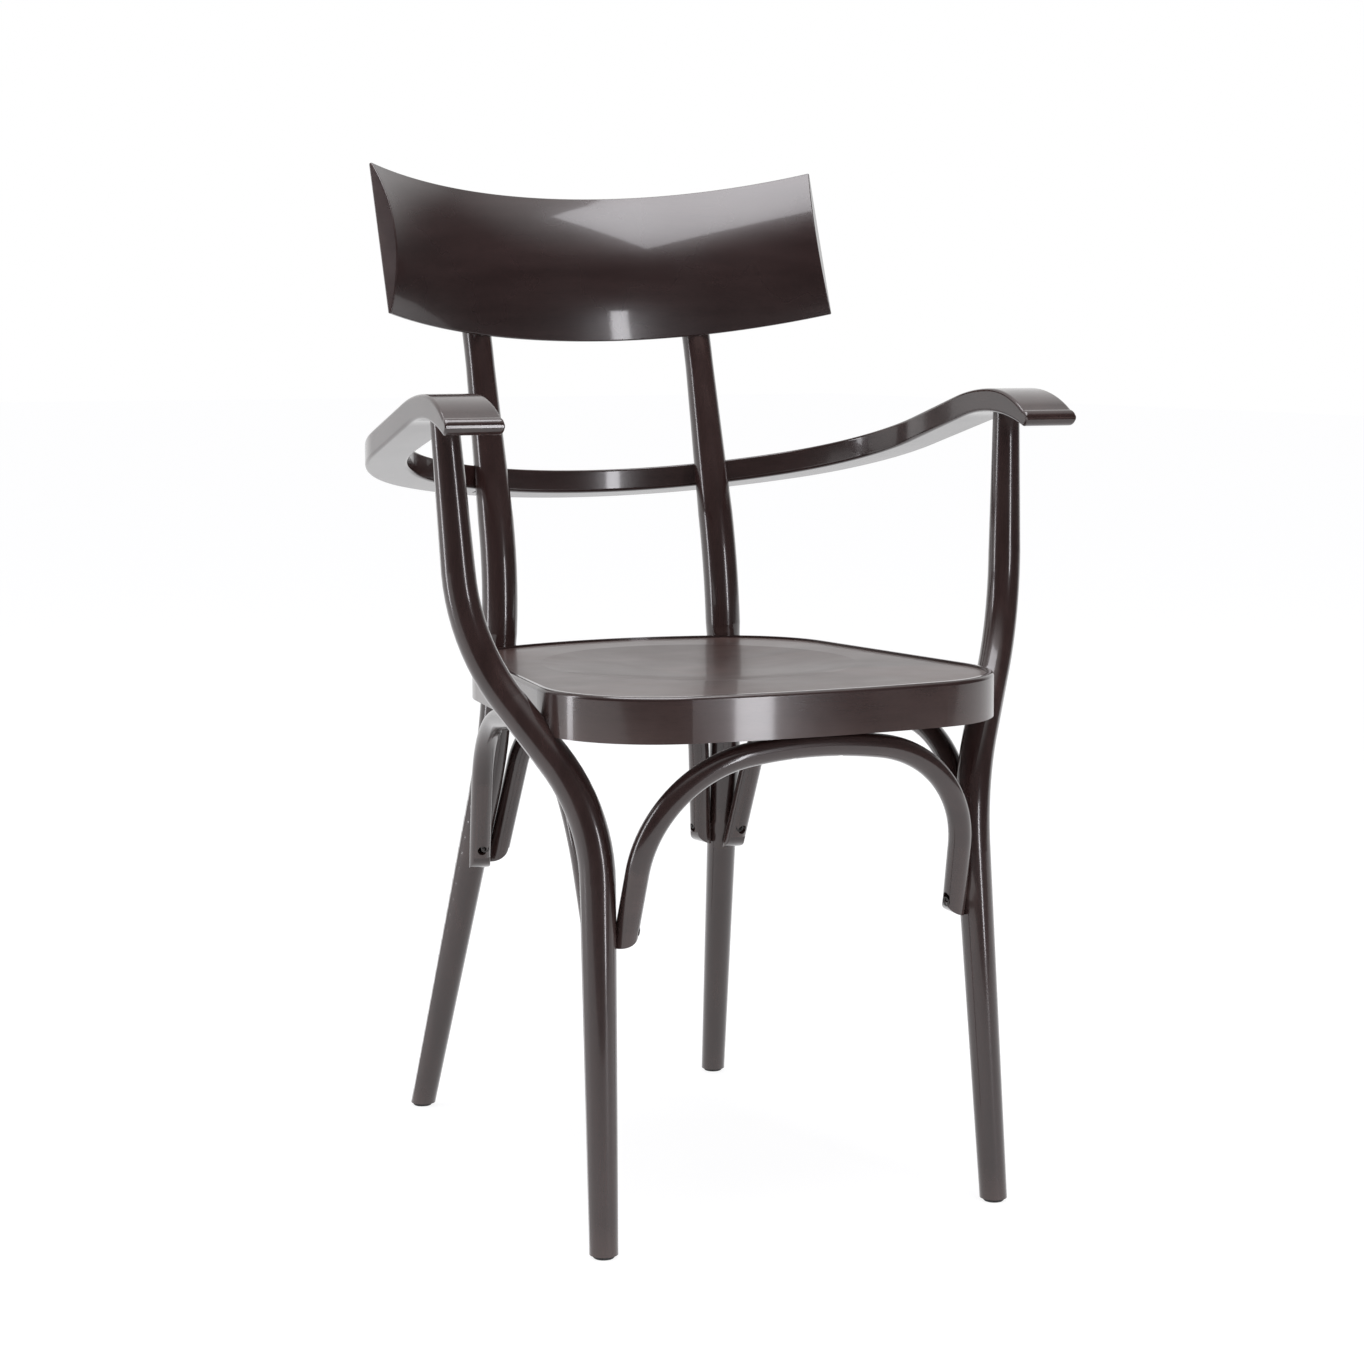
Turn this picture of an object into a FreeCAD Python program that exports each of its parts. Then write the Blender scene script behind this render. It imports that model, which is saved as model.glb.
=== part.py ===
import FreeCAD, Part
import math
import os

import Sketcher
from FreeCAD import Placement, Rotation, Vector

# Bentwood armchair. Millimetres, +Z up, the front of the chair faces -Y, the sitter's
# left hand is on the +X side, and the origin is on the floor under the middle.

doc = FreeCAD.newDocument("bentwood_armchair")

# Driving dimensions
SIZES = [
    # Seat
    ("seat_height", 461.0),
    ("ring_height", 38.0),
    ("ring_width", 28.0),
    ("lip_width", 6.0),
    ("lip_rise", 2.0),
    ("ring_edge_radius", 3.5),
    ("seat_front", 276.0),
    ("seat_rear", 165.0),
    ("seat_half_width_front", 205.4),
    ("seat_half_width_rear", 176.8),
    ("front_bow_radius", 960.0),
    ("rear_bow_radius", 331.0),
    ("front_corner_radius", 101.0),
    ("rear_corner_radius", 108.0),
    ("side_start", -155.7),
    ("side_length", 214.5),
    ("panel_thickness", 8.0),
    ("panel_gap", 0.3),
    ("dish_radius", 140.0),
    ("dish_centre", -32.0),
    ("dish_depth", 8.0),
    # Front legs, which run up into the arms
    ("front_foot_x", 185.0),
    ("front_foot_y", -242.0),
    ("front_knee_x", 175.6),
    ("front_knee_y", -208.7),
    ("front_knee_height", 362.0),
    ("front_elbow_x", 257.5),
    ("front_elbow_y", -127.1),
    ("front_elbow_height", 494.5),
    ("front_top_x", 268.0),
    ("front_top_y", -110.0),
    ("front_knee_radius", 165.0),
    ("front_elbow_radius", 190.0),
    ("front_foot_diameter", 23.6),
    ("front_knee_diameter", 30.0),
    ("front_elbow_diameter", 28.6),
    ("front_top_diameter", 23.4),
    ("tenon_diameter", 16.0),
    ("tenon_length", 13.0),
    ("tenon_root", 8.0),
    # Back legs, which run up behind the backrest
    ("back_foot_x", 157.5),
    ("back_foot_y", 264.0),
    ("back_knee_x", 119.6),
    ("back_knee_y", 157.5),
    ("back_knee_height", 376.0),
    ("back_knee_radius", 400.0),
    ("back_bend_x", 113.5),
    ("back_bend_y", 155.7),
    ("back_bend_height", 525.0),
    ("back_bend_radius", 400.0),
    ("back_foot_diameter", 23.0),
    ("back_knee_diameter", 29.6),
    ("back_bend_diameter", 33.2),
    ("back_neck_diameter", 27.0),
    ("back_top_diameter", 23.6),
    ("back_neck_radius", 500.0),
    ("post_bed", 2.3),
    ("post_top_margin", 11.0),
    ("post_top_round", 4.0),
    # Arm rail
    ("arm_thickness", 21.0),
    ("arm_slope", 15.1),
    ("arm_height", 654.5),
    ("arm_crest_y", -121.6),
    ("arm_top_radius", 240.0),
    ("arm_palm_y", -118.0),
    ("arm_under_radius", 180.0),
    ("arm_nose_radius", 95.0),
    ("arm_palm_radius", 160.0),
    ("arm_tip_y", -177.0),
    ("arm_inner_half_width", 243.0),
    ("arm_inner_corner", 170.0),
    ("arm_inner_bow", 290.0),
    ("arm_inner_back", 212.0),
    ("arm_inner_taper", 0.0),
    ("arm_outer_half_width", 294.0),
    ("arm_outer_corner", 180.0),
    ("arm_outer_bow", 350.0),
    ("arm_outer_back", 237.0),
    ("arm_outer_taper", 3.96),
    # Backrest
    ("backrest_radius", 364.0),
    ("backrest_angle", 76.6),
    ("backrest_height", 144.0),
    ("backrest_tilt", 19.55),
    ("backrest_bottom_y", 217.4),
    ("backrest_bottom_height", 740.4),
    ("backrest_thickness", 18.6),
    ("backrest_edge", 3.0),
    ("backrest_edge_radius", 1.2),
    # Braces
    ("brace_diameter", 20.0),
    ("front_brace_reach", 23.2),
    ("back_brace_reach", 24.5),
    ("brace_tip_height", 251.0),
    ("side_brace_back_height", 247.5),
    ("brace_bed", 0.6),
    ("tip_round", 13.0),
    ("tip_root", 13.0),
    ("brace_corner_radius", 105.0),
    ("brace_crown_radius", 410.0),
    ("back_brace_corner_radius", 76.0),
    ("back_brace_crown_radius", 180.0),
    ("brace_slope", 7.4),
    ("front_brace_turn", 4.0),
    ("front_brace_lean", 3.9),
    ("front_brace_tilt", 15.0),
    ("side_brace_front_turn", 17.4),
    ("side_brace_back_turn", 0.0),
    ("side_brace_front_spread", 6.8),
    ("side_brace_back_spread", 4.6),
    ("side_brace_lean", 5.0),
    ("side_brace_rake", 17.7),
    ("back_brace_turn", 9.2),
    ("back_brace_lean", 8.0),
    ("back_brace_tilt", 13.5),
    # Fasteners and glides
    ("screw_diameter", 4.5),
    ("screw_head_diameter", 8.5),
    ("screw_head_height", 3.2),
    ("screw_clearance", 0.15),
    ("screw_sink", 0.6),
    ("end_screw_rise", 17.0),
    ("crown_screw_offset", 22.0),
    ("ring_screw_rise", 14.0),
    ("arm_screw_rise", 0.0),
    ("backrest_screw_low", 0.24),
    ("backrest_screw_high", 0.72),
    ("end_screw_length", 38.0),
    ("crown_screw_length", 38.0),
    ("ring_screw_length", 42.0),
    ("arm_screw_length", 38.0),
    ("backrest_screw_length", 32.0),
    ("glide_diameter", 18.0),
    ("glide_height", 3.0),
    ("glide_edge", 0.8),
    ("glide_pin_diameter", 3.0),
    ("glide_pin_length", 14.0),
    ("overrun", 10.0),
]

sheet = doc.addObject("Spreadsheet::Sheet", "Dims")
for row, (alias, size) in enumerate(SIZES, start=1):
    sheet.set("A%d" % row, alias)
    sheet.set("B%d" % row, str(size))
    sheet.setAlias("B%d" % row, alias)
doc.recompute()


def size(alias):
    """The number that the sheet holds under an alias."""
    return float(sheet.get(alias))


def bind(item, **sizes):
    """Tie properties of an object to expressions on the sheet; every word of an
    expression that is an alias gets the sheet's name in front of it."""
    for prop, text in sizes.items():
        item.setExpression(prop, on_sheet(text))


def on_sheet(text):
    """Put the sheet's name before each alias in an expression."""
    words = []
    for word in text.split(" "):
        words.append("Dims." + word if word in ALIASES else word)
    return " ".join(words)


ALIASES = {alias for alias, number in SIZES}


def dimension(sketch, kind, *args, text):
    """Add a dimensional constraint to a sketch and tie it to an expression."""
    index = sketch.addConstraint(Sketcher.Constraint(kind, *args))
    sketch.setExpression("Constraints[%d]" % index, on_sheet(text))
    return index


def extrude(name, profile, length, direction=None, symmetric=False):
    """A solid prism of a closed sketch, its length tied to the sheet."""
    prism = doc.addObject("Part::Extrusion", name)
    prism.Base = profile
    prism.DirMode = "Normal" if direction is None else "Custom"
    if direction is not None:
        prism.Dir = direction
    prism.Solid = True
    prism.Symmetric = symmetric
    prism.setExpression("LengthFwd", on_sheet(length))
    return prism


def inset(name, profile, text):
    """A closed wire that runs inside another at an even distance."""
    wire = doc.addObject("Part::Offset2D", name)
    wire.Source = profile
    wire.Join = "Arc"
    wire.setExpression("Value", on_sheet(text))
    return wire


def unite(name, *pieces):
    """Fuse pieces into one solid."""
    joined = doc.addObject("Part::MultiFuse", name)
    joined.Shapes = list(pieces)
    joined.Refine = True
    return joined


def common(name, *pieces):
    """The space that all pieces share."""
    shared = doc.addObject("Part::MultiCommon", name)
    shared.Shapes = list(pieces)
    return shared


def mirror(name, source):
    """The same piece on the other side of the chair."""
    copy = doc.addObject("Part::Mirroring", name)
    copy.Source = source
    copy.Normal = Vector(1, 0, 0)
    copy.Base = Vector(0, 0, 0)
    return copy


def along(start, direction):
    """A placement at a point whose Z axis looks along a direction."""
    return Placement(start, Rotation(Vector(0, 0, 1), direction))


def bends(points, radii):
    """For each inner point of a bent line: where its tangent arc starts and ends, the
    arc's centre and the angle it turns by. The radii are given by their aliases."""
    found = []
    for before, corner, after, radius in zip(points, points[1:], points[2:], radii):
        back = (before - corner).normalize()
        onward = (after - corner).normalize()
        half_turn = (math.pi - back.getAngle(onward)) / 2
        reach = size(radius) * math.tan(half_turn)
        inward = (back + onward).normalize()
        centre = corner + inward * (size(radius) / math.cos(half_turn))
        found.append((corner + back * reach, corner + onward * reach, centre, 2 * half_turn))
    return found


def bent_wire(points, radii):
    """Straight runs through the points, joined at the inner points by tangent arcs."""
    edges = []
    last = points[0]
    for (first, final, centre, turn), radius in zip(bends(points, radii), radii):
        middle = centre + ((first + final) / 2 - centre).normalize() * size(radius)
        edges.append(Part.LineSegment(last, first).toShape())
        edges.append(Part.Arc(first, middle, final).toShape())
        last = final
    edges.append(Part.LineSegment(last, points[-1]).toShape())
    return Part.Wire(edges)


def straight_run(name, start, end, near, far):
    """A straight length of rod that may taper from one radius to another."""
    if near == far:
        rod = doc.addObject("Part::Cylinder", name)
        bind(rod, Radius=near)
    else:
        rod = doc.addObject("Part::Cone", name)
        bind(rod, Radius1=near, Radius2=far)
    rod.Height = start.distanceToPoint(end)
    rod.Placement = along(start, end - start)
    return rod


def bent_rod(name, points, radii, sizes):
    """A round rod bent in space from straight runs, which may taper, and even bends.
    The sizes give its radius at its start, in each bend and at its end."""
    pieces = []
    last = points[0]
    for number, (first, final, centre, turn) in enumerate(bends(points, radii)):
        pieces.append(straight_run("%s_run_%d" % (name, number + 1), last, first,
                                   sizes[number], sizes[number + 1]))
        bend = doc.addObject("Part::Torus", "%s_bend_%d" % (name, number + 1))
        bind(bend, Radius1=radii[number], Radius2=sizes[number + 1])
        bend.Angle3 = math.degrees(turn)
        out = first - centre
        spin = out.cross(final - centre)
        bend.Placement = Placement(centre, Rotation(out, spin.cross(out), spin, "XZY"))
        pieces.append(bend)
        last = final
    pieces.append(straight_run("%s_run_%d" % (name, len(points) - 1), last, points[-1],
                               sizes[-2], sizes[-1]))
    return unite(name, *pieces)


# Seat ring and seat panel

def seat_outline():
    """The closed outline of the seat, seen from above: a bowed front and back,
    straight sides that draw in towards the back, and four round corners."""
    sketch = doc.addObject("Sketcher::SketchObject", "seat_outline")
    front, rear = -size("seat_front"), size("seat_rear")
    wide, narrow = size("seat_half_width_front"), size("seat_half_width_rear")
    bow_f, bow_r = size("front_bow_radius"), size("rear_bow_radius")
    corner_f, corner_r = size("front_corner_radius"), size("rear_corner_radius")
    taper = math.atan2(wide - narrow, size("side_length"))
    side = Vector(math.cos(taper), math.sin(taper), 0)
    # The front corner's centre lies inside the side line by its radius and inside the
    # front arc by the same amount; the rear corner's centre likewise.
    cfx = wide - corner_f * side.x
    cfy = front + bow_f - math.sqrt((bow_f - corner_f) ** 2 - cfx ** 2)
    crx = narrow - corner_r * side.x
    cry = rear - bow_r + math.sqrt((bow_r - corner_r) ** 2 - crx ** 2)
    centres = {"front": Vector(0, front + bow_f, 0), "rear": Vector(0, rear - bow_r, 0),
               "fr": Vector(cfx, cfy, 0), "fl": Vector(-cfx, cfy, 0),
               "rr": Vector(crx, cry, 0), "rl": Vector(-crx, cry, 0)}

    def arc(centre, radius, start, end):
        circle = Part.Circle(centre, Vector(0, 0, 1), radius)
        return sketch.addGeometry(Part.ArcOfCircle(circle, start, end), False)

    def angle(a, b):
        return math.atan2(b.y - a.y, b.x - a.x)

    f_turn = angle(centres["front"], centres["fr"])
    r_turn = angle(centres["rear"], centres["rr"])
    front_arc = arc(centres["front"], bow_f, math.pi - f_turn, f_turn + 2 * math.pi)
    fr = arc(centres["fr"], corner_f, f_turn, taper)
    fr_end = centres["fr"] + side * corner_f
    rr_start = centres["rr"] + side * corner_r
    side_r = sketch.addGeometry(Part.LineSegment(fr_end, rr_start), False)
    rr = arc(centres["rr"], corner_r, taper, r_turn)
    rear_arc = arc(centres["rear"], bow_r, r_turn, math.pi - r_turn)
    rl = arc(centres["rl"], corner_r, math.pi - r_turn, math.pi - taper)
    side_l = sketch.addGeometry(Part.LineSegment(Vector(-rr_start.x, rr_start.y, 0),
                                                 Vector(-fr_end.x, fr_end.y, 0)), False)
    fl = arc(centres["fl"], corner_f, math.pi - taper, math.pi - f_turn)
    loop = [front_arc, fr, side_r, rr, rear_arc, rl, side_l, fl]
    for here, there in zip(loop, loop[1:] + loop[:1]):
        sketch.addConstraint(Sketcher.Constraint("Tangent", here, 2, there, 1))
    for bow in (front_arc, rear_arc):
        sketch.addConstraint(Sketcher.Constraint("PointOnObject", bow, 3, -2))
    sketch.addConstraint(Sketcher.Constraint("Equal", fr, fl))
    sketch.addConstraint(Sketcher.Constraint("Equal", rr, rl))
    sketch.addConstraint(Sketcher.Constraint("Symmetric", side_r, 1, side_l, 2, -2))
    dimension(sketch, "Radius", front_arc, bow_f, text="front_bow_radius")
    dimension(sketch, "Radius", rear_arc, bow_r, text="rear_bow_radius")
    dimension(sketch, "Radius", fr, corner_f, text="front_corner_radius")
    dimension(sketch, "Radius", rr, corner_r, text="rear_corner_radius")
    dimension(sketch, "DistanceY", -1, 1, front_arc, 3, front + bow_f,
              text="front_bow_radius - seat_front")
    dimension(sketch, "DistanceY", rear_arc, 3, -1, 1, bow_r - rear,
              text="rear_bow_radius - seat_rear")
    dimension(sketch, "DistanceX", -1, 1, side_r, 1, wide, text="seat_half_width_front")
    dimension(sketch, "DistanceX", -1, 1, side_r, 2, narrow, text="seat_half_width_rear")
    bind(sketch, **{"Placement.Base.z": "seat_height - ring_height"})
    return sketch


def seat_parts():
    """The ring blank, the finished seat ring and the dished panel that lies in it."""
    outline = seat_outline()
    blank = extrude("ring_blank", outline, "ring_height")
    rebate = extrude("ring_rebate", inset("rebate_outline", outline, "- lip_width"),
                     "panel_thickness + lip_rise")
    bind(rebate, **{"Placement.Base.z": "ring_height - panel_thickness - lip_rise"})
    opening = extrude("ring_opening", inset("opening_outline", outline, "- ring_width"),
                      "ring_height")
    doc.recompute()
    rounded = doc.addObject("Part::Fillet", "ring_rounded")
    rounded.Base = blank
    rounded.Edges = [(number, size("ring_edge_radius"), size("ring_edge_radius"))
                     for number in level_edges(blank, size("seat_height"))]
    ring = carve("ring", rounded, rebate, opening)

    board = extrude("panel_board", inset("panel_outline", outline, "- lip_width - panel_gap"),
                    "panel_thickness")
    bind(board, **{"Placement.Base.z": "ring_height - panel_thickness - lip_rise"})
    hollow = dish("panel_hollow", "seat_height - lip_rise")
    belly = dish("panel_belly", "seat_height - lip_rise - panel_thickness")
    under = doc.addObject("Part::Box", "under_panel")
    bind(under, Length="2 * dish_radius + overrun", Width="2 * dish_radius + overrun",
         Height="dish_depth + overrun")
    bind(under, **{"Placement.Base.x": "- dish_radius - overrun / 2",
                   "Placement.Base.y": "dish_centre - dish_radius - overrun / 2",
                   "Placement.Base.z": "seat_height - lip_rise - panel_thickness "
                                       "- dish_depth - overrun"})
    swell = common("panel_swell", belly, under)
    panel = carve("panel", unite("panel_solid", board, swell), hollow)
    return blank, ring, panel


def dish(name, rim_height):
    """A wide ball whose lower cap is the dished middle of the seat."""
    ball = doc.addObject("Part::Sphere", name)
    radius = "( dish_radius ^ 2 + dish_depth ^ 2 ) / ( 2 * dish_depth )"
    bind(ball, Radius=radius)
    bind(ball, **{"Placement.Base.y": "dish_centre",
                  "Placement.Base.z": rim_height + " - dish_depth + " + radius})
    return ball


def level_edges(item, height):
    """The numbers of the edges that lie flat at one height."""
    return [number for number, edge in enumerate(item.Shape.Edges, start=1)
            if all(abs(vertex.Z - height) < 0.01 for vertex in edge.Vertexes)]


def carve(name, base, *tools):
    """Cut tools out of a base one after another."""
    for number, tool in enumerate(tools, start=1):
        last = number == len(tools)
        cut = doc.addObject("Part::Cut", name if last else "%s_step_%d" % (name, number))
        cut.Base = base
        cut.Tool = tool
        base = cut
    return base


# Legs and posts

FRONT_BENDS = ["front_knee_radius", "front_elbow_radius"]
BACK_BENDS = ["back_knee_radius", "back_bend_radius", "back_neck_radius"]


def front_leg_points():
    """Foot, knee under the seat, elbow beside the seat, and top inside the arm."""
    high = size("arm_height") + size("arm_thickness") / math.cos(math.radians(size("arm_slope")))
    crest = crest_height(high, size("arm_top_radius"), size("arm_crest_y"))
    top = Vector(size("front_top_x"), size("front_top_y"), crest - size("arm_thickness") / 2)
    return [Vector(size("front_foot_x"), size("front_foot_y"), 0),
            Vector(size("front_knee_x"), size("front_knee_y"), size("front_knee_height")),
            Vector(size("front_elbow_x"), size("front_elbow_y"), size("front_elbow_height")),
            top]


def back_neck():
    """The point where the back post turns to run up the rear face of the backrest."""
    tilt = math.radians(size("backrest_tilt"))
    aside = size("back_bend_x")
    radius = size("backrest_radius")
    # Depth of the curved rear face at this distance from the middle, at the height
    # of the backrest's lower edge, and the post's own radius square to that face.
    fall = (radius - math.sqrt(radius ** 2 - aside ** 2)) / math.cos(tilt)
    half = size("back_neck_diameter") / 2 - size("post_bed")
    rear = half / (math.cos(tilt) * math.sqrt(1 - (aside / radius) ** 2))
    return Vector(aside, size("backrest_bottom_y") - fall + rear,
                  size("backrest_bottom_height"))


def back_leg_points():
    """Foot, knee under the seat, bend above it, neck under the backrest, and top."""
    tilt = math.radians(size("backrest_tilt"))
    neck = back_neck()
    rise = size("backrest_height") * math.cos(tilt) - size("post_top_margin")
    top = neck + Vector(0, math.sin(tilt), math.cos(tilt)) * (rise / math.cos(tilt))
    return [Vector(size("back_foot_x"), size("back_foot_y"), 0),
            Vector(size("back_knee_x"), size("back_knee_y"), size("back_knee_height")),
            Vector(size("back_bend_x"), size("back_bend_y"), size("back_bend_height")),
            neck, top]


def between(low, high, height):
    """The point of a straight run at a height."""
    return low + (high - low) * ((height - low.z) / (high.z - low.z))


def sunk_foot(points):
    """A leg's points with the foot carried on below the floor, to be cut off level."""
    run = (points[1] - points[0]).normalize()
    return [points[0] - run * size("overrun")] + points[1:]


def front_leg_rod():
    """The front leg's bent rod, from below the floor to inside the arm rail."""
    return bent_rod("front_rod", sunk_foot(front_leg_points()),
                    FRONT_BENDS,
                    ["front_foot_diameter / 2", "front_knee_diameter / 2",
                     "front_elbow_diameter / 2", "front_top_diameter / 2"])


def front_leg(rod, floor, ring_blank, rail_blank):
    """The front leg: its rod passes close by the ring, which is let into it, and ends
    in a round tenon inside the arm rail."""
    trimmed = carve("front_leg_trimmed", rod, floor, ring_blank, rail_blank)
    tenon = doc.addObject("Part::Cylinder", "arm_tenon")
    tenon.Placement = tenon_place()
    bind(tenon, Radius="tenon_diameter / 2", Height="tenon_root + tenon_length")
    return unite("front_leg", trimmed, tenon)


def tenon_place():
    """The root of the tenon on the front leg's axis, below the arm rail."""
    points = front_leg_points()
    climb = (points[-1] - points[-2]).normalize()
    return along(points[-1] - climb * (size("arm_thickness") / 2 + size("tenon_root")), climb)


def back_leg_rod():
    """The back leg's bent rod, from below the floor to behind the backrest."""
    return bent_rod("back_rod", sunk_foot(back_leg_points()),
                    BACK_BENDS,
                    ["back_foot_diameter / 2", "back_knee_diameter / 2",
                     "back_bend_diameter / 2", "back_neck_diameter / 2",
                     "back_top_diameter / 2"])


def back_leg(rod, floor, ring_blank, rail_blank, backrest_blank):
    """The back leg: its rod has a rounded top, and ring, arm rail and backrest are
    each let into it a little."""
    doc.recompute()
    rounded = doc.addObject("Part::Fillet", "back_rod_rounded")
    rounded.Base = rod
    edges = rod.Shape.Edges
    high = max(range(len(edges)), key=lambda number: edges[number].CenterOfMass.z)
    rounded.Edges = [(high + 1, size("post_top_round"), size("post_top_round"))]
    return carve("back_leg", rounded, floor, ring_blank, rail_blank, backrest_blank)


# Arm rail

def rail_outline(name, half_width, taper, corner, bow, back):
    """One edge of the arm rail seen from above: a bowed back, round corners and two
    arms that run forward, past the tips. The sizes are given by their aliases."""
    sketch = doc.addObject("Sketcher::SketchObject", name)
    lean = math.radians(size(taper))
    front = size("arm_tip_y") - size("overrun")
    wide = size(half_width) + size("overrun") * math.tan(lean)
    side = Vector(math.cos(lean), math.sin(lean), 0)
    bow_centre = Vector(0, size(back) - size(bow), 0)
    # The corner's centre lies on a line inside the arm's edge by the corner's radius,
    # and at the difference of the radii from the middle of the bow.
    start = Vector(wide, front, 0) - side * size(corner)
    run = Vector(-math.sin(lean), math.cos(lean), 0)
    gap = start - bow_centre
    near = gap.dot(run)
    reach = math.sqrt(near ** 2 - gap.dot(gap) + (size(bow) - size(corner)) ** 2) - near
    centre = start + run * reach
    turn = math.atan2(centre.y - bow_centre.y, centre.x)
    up = Vector(0, 0, 1)

    def arc(middle, radius, first, last):
        return sketch.addGeometry(Part.ArcOfCircle(Part.Circle(middle, up, radius), first, last),
                                  False)

    tip = Vector(wide, front, 0)
    end = centre + side * size(corner)
    far = Vector(-centre.x, centre.y, 0)
    right = sketch.addGeometry(Part.LineSegment(tip, end), False)
    right_corner = arc(centre, size(corner), lean, turn)
    bowed = arc(bow_centre, size(bow), turn, math.pi - turn)
    left_corner = arc(far, size(corner), math.pi - turn, math.pi - lean)
    left = sketch.addGeometry(Part.LineSegment(Vector(-end.x, end.y, 0),
                                               Vector(-tip.x, tip.y, 0)), False)
    across = sketch.addGeometry(Part.LineSegment(Vector(-tip.x, tip.y, 0), tip), False)
    loop = [right, right_corner, bowed, left_corner, left]
    for here, there in zip(loop, loop[1:]):
        sketch.addConstraint(Sketcher.Constraint("Tangent", here, 2, there, 1))
    sketch.addConstraint(Sketcher.Constraint("Coincident", left, 2, across, 1))
    sketch.addConstraint(Sketcher.Constraint("Coincident", across, 2, right, 1))
    sketch.addConstraint(Sketcher.Constraint("PointOnObject", bowed, 3, -2))
    sketch.addConstraint(Sketcher.Constraint("Equal", right_corner, left_corner))
    sketch.addConstraint(Sketcher.Constraint("Equal", right, left))
    sketch.addConstraint(Sketcher.Constraint("Symmetric", across, 1, across, 2, -2))
    dimension(sketch, "Radius", right_corner, size(corner), text=corner)
    dimension(sketch, "Radius", bowed, size(bow), text=bow)
    dimension(sketch, "DistanceY", -1, 1, bowed, 3, bow_centre.y, text=back + " - " + bow)
    dimension(sketch, "DistanceX", -1, 1, across, 2, wide,
              text=half_width + " + overrun * tan( " + taper + " * 1 deg )")
    dimension(sketch, "DistanceY", -1, 1, across, 2, front, text="arm_tip_y - overrun")
    dimension(sketch, "Angle", right, math.pi / 2 + lean, text="90 + " + taper)
    bind(sketch, **{"Placement.Base.z": "seat_height"})
    return sketch


def crest_height(height, radius, crest):
    """Height of the crest of an arc that is tangent to a line which slopes down
    towards the back and passes the middle of the chair at a height."""
    slope = math.radians(size("arm_slope"))
    fall = radius * (1 - math.cos(slope)) / math.cos(slope)
    return height - crest * math.tan(slope) - fall


def rail_profile():
    """The arm rail seen from the side: it climbs evenly from the back, crests over
    the front legs and drops to a rounded tip."""
    sketch = doc.addObject("Sketcher::SketchObject", "rail_profile")
    sketch.Placement = Placement(Vector(0, 0, 0), Rotation(Vector(1, 1, 1), 120))
    slope = math.radians(size("arm_slope"))
    tip = size("arm_tip_y")
    end = size("arm_outer_back") + size("overrun")
    low = size("arm_height")
    high = low + size("arm_thickness") / math.cos(slope)

    def arc(middle, radius, first, last):
        circle = Part.Circle(middle, Vector(0, 0, 1), radius)
        return sketch.addGeometry(Part.ArcOfCircle(circle, first, last), False)

    def half(rear, front, crest, height):
        """The rear arc, the front arc, the run of the slope and the tip's height."""
        top = crest_height(height, rear, crest)
        middle = Vector(crest, top - rear, 0)
        back_arc = arc(middle, rear, math.pi / 2 - slope, math.pi / 2)
        turn = math.asin((crest - tip) / front)
        front_arc = arc(Vector(crest, top - front, 0), front, math.pi / 2, math.pi / 2 + turn)
        foot = middle + Vector(math.sin(slope), math.cos(slope), 0) * rear
        final = Vector(end, height - end * math.tan(slope), 0)
        line = sketch.addGeometry(Part.LineSegment(foot, final), False)
        return back_arc, front_arc, line, top - front * (1 - math.cos(turn)), final

    top_rear, top_front, top_line, top_tip, top_end = half(
        size("arm_top_radius"), size("arm_nose_radius"), size("arm_crest_y"), high)
    low_rear, low_front, low_line, low_tip, low_end = half(
        size("arm_under_radius"), size("arm_palm_radius"), size("arm_palm_y"), low)
    nose = arc(Vector(tip, (top_tip + low_tip) / 2, 0), (top_tip - low_tip) / 2,
               math.pi / 2, 3 * math.pi / 2)
    back = sketch.addGeometry(Part.LineSegment(low_end, top_end), False)
    for rear, front, line in ((top_rear, top_front, top_line), (low_rear, low_front, low_line)):
        sketch.addConstraint(Sketcher.Constraint("Tangent", line, 1, rear, 1))
        sketch.addConstraint(Sketcher.Constraint("Tangent", rear, 2, front, 1))
        sketch.addConstraint(Sketcher.Constraint("Vertical", rear, 3, rear, 2))
    sketch.addConstraint(Sketcher.Constraint("Coincident", top_front, 2, nose, 1))
    sketch.addConstraint(Sketcher.Constraint("Coincident", nose, 2, low_front, 2))
    sketch.addConstraint(Sketcher.Constraint("Coincident", low_line, 2, back, 1))
    sketch.addConstraint(Sketcher.Constraint("Coincident", back, 2, top_line, 2))
    sketch.addConstraint(Sketcher.Constraint("Vertical", back))
    sketch.addConstraint(Sketcher.Constraint("Vertical", top_front, 2, low_front, 2))
    sketch.addConstraint(Sketcher.Constraint("Vertical", top_front, 2, nose, 3))
    sketch.addConstraint(Sketcher.Constraint("Parallel", top_line, low_line))
    dimension(sketch, "Radius", top_rear, size("arm_top_radius"), text="arm_top_radius")
    dimension(sketch, "Radius", top_front, size("arm_nose_radius"), text="arm_nose_radius")
    dimension(sketch, "Radius", low_rear, size("arm_under_radius"), text="arm_under_radius")
    dimension(sketch, "Radius", low_front, size("arm_palm_radius"), text="arm_palm_radius")
    dimension(sketch, "Angle", low_line, -slope, text="- arm_slope")
    dimension(sketch, "Distance", low_line, 1, top_line, size("arm_thickness"),
              text="arm_thickness")
    dimension(sketch, "DistanceX", -1, 1, top_rear, 2, size("arm_crest_y"), text="arm_crest_y")
    dimension(sketch, "DistanceX", -1, 1, low_rear, 2, size("arm_palm_y"), text="arm_palm_y")
    dimension(sketch, "DistanceX", -1, 1, top_front, 2, tip, text="arm_tip_y")
    dimension(sketch, "DistanceX", -1, 1, low_line, 2, end, text="arm_outer_back + overrun")
    dimension(sketch, "DistanceY", -1, 1, low_line, 2, low_end.y,
              text="arm_height - ( arm_outer_back + overrun ) * tan( arm_slope * 1 deg )")
    return sketch


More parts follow.
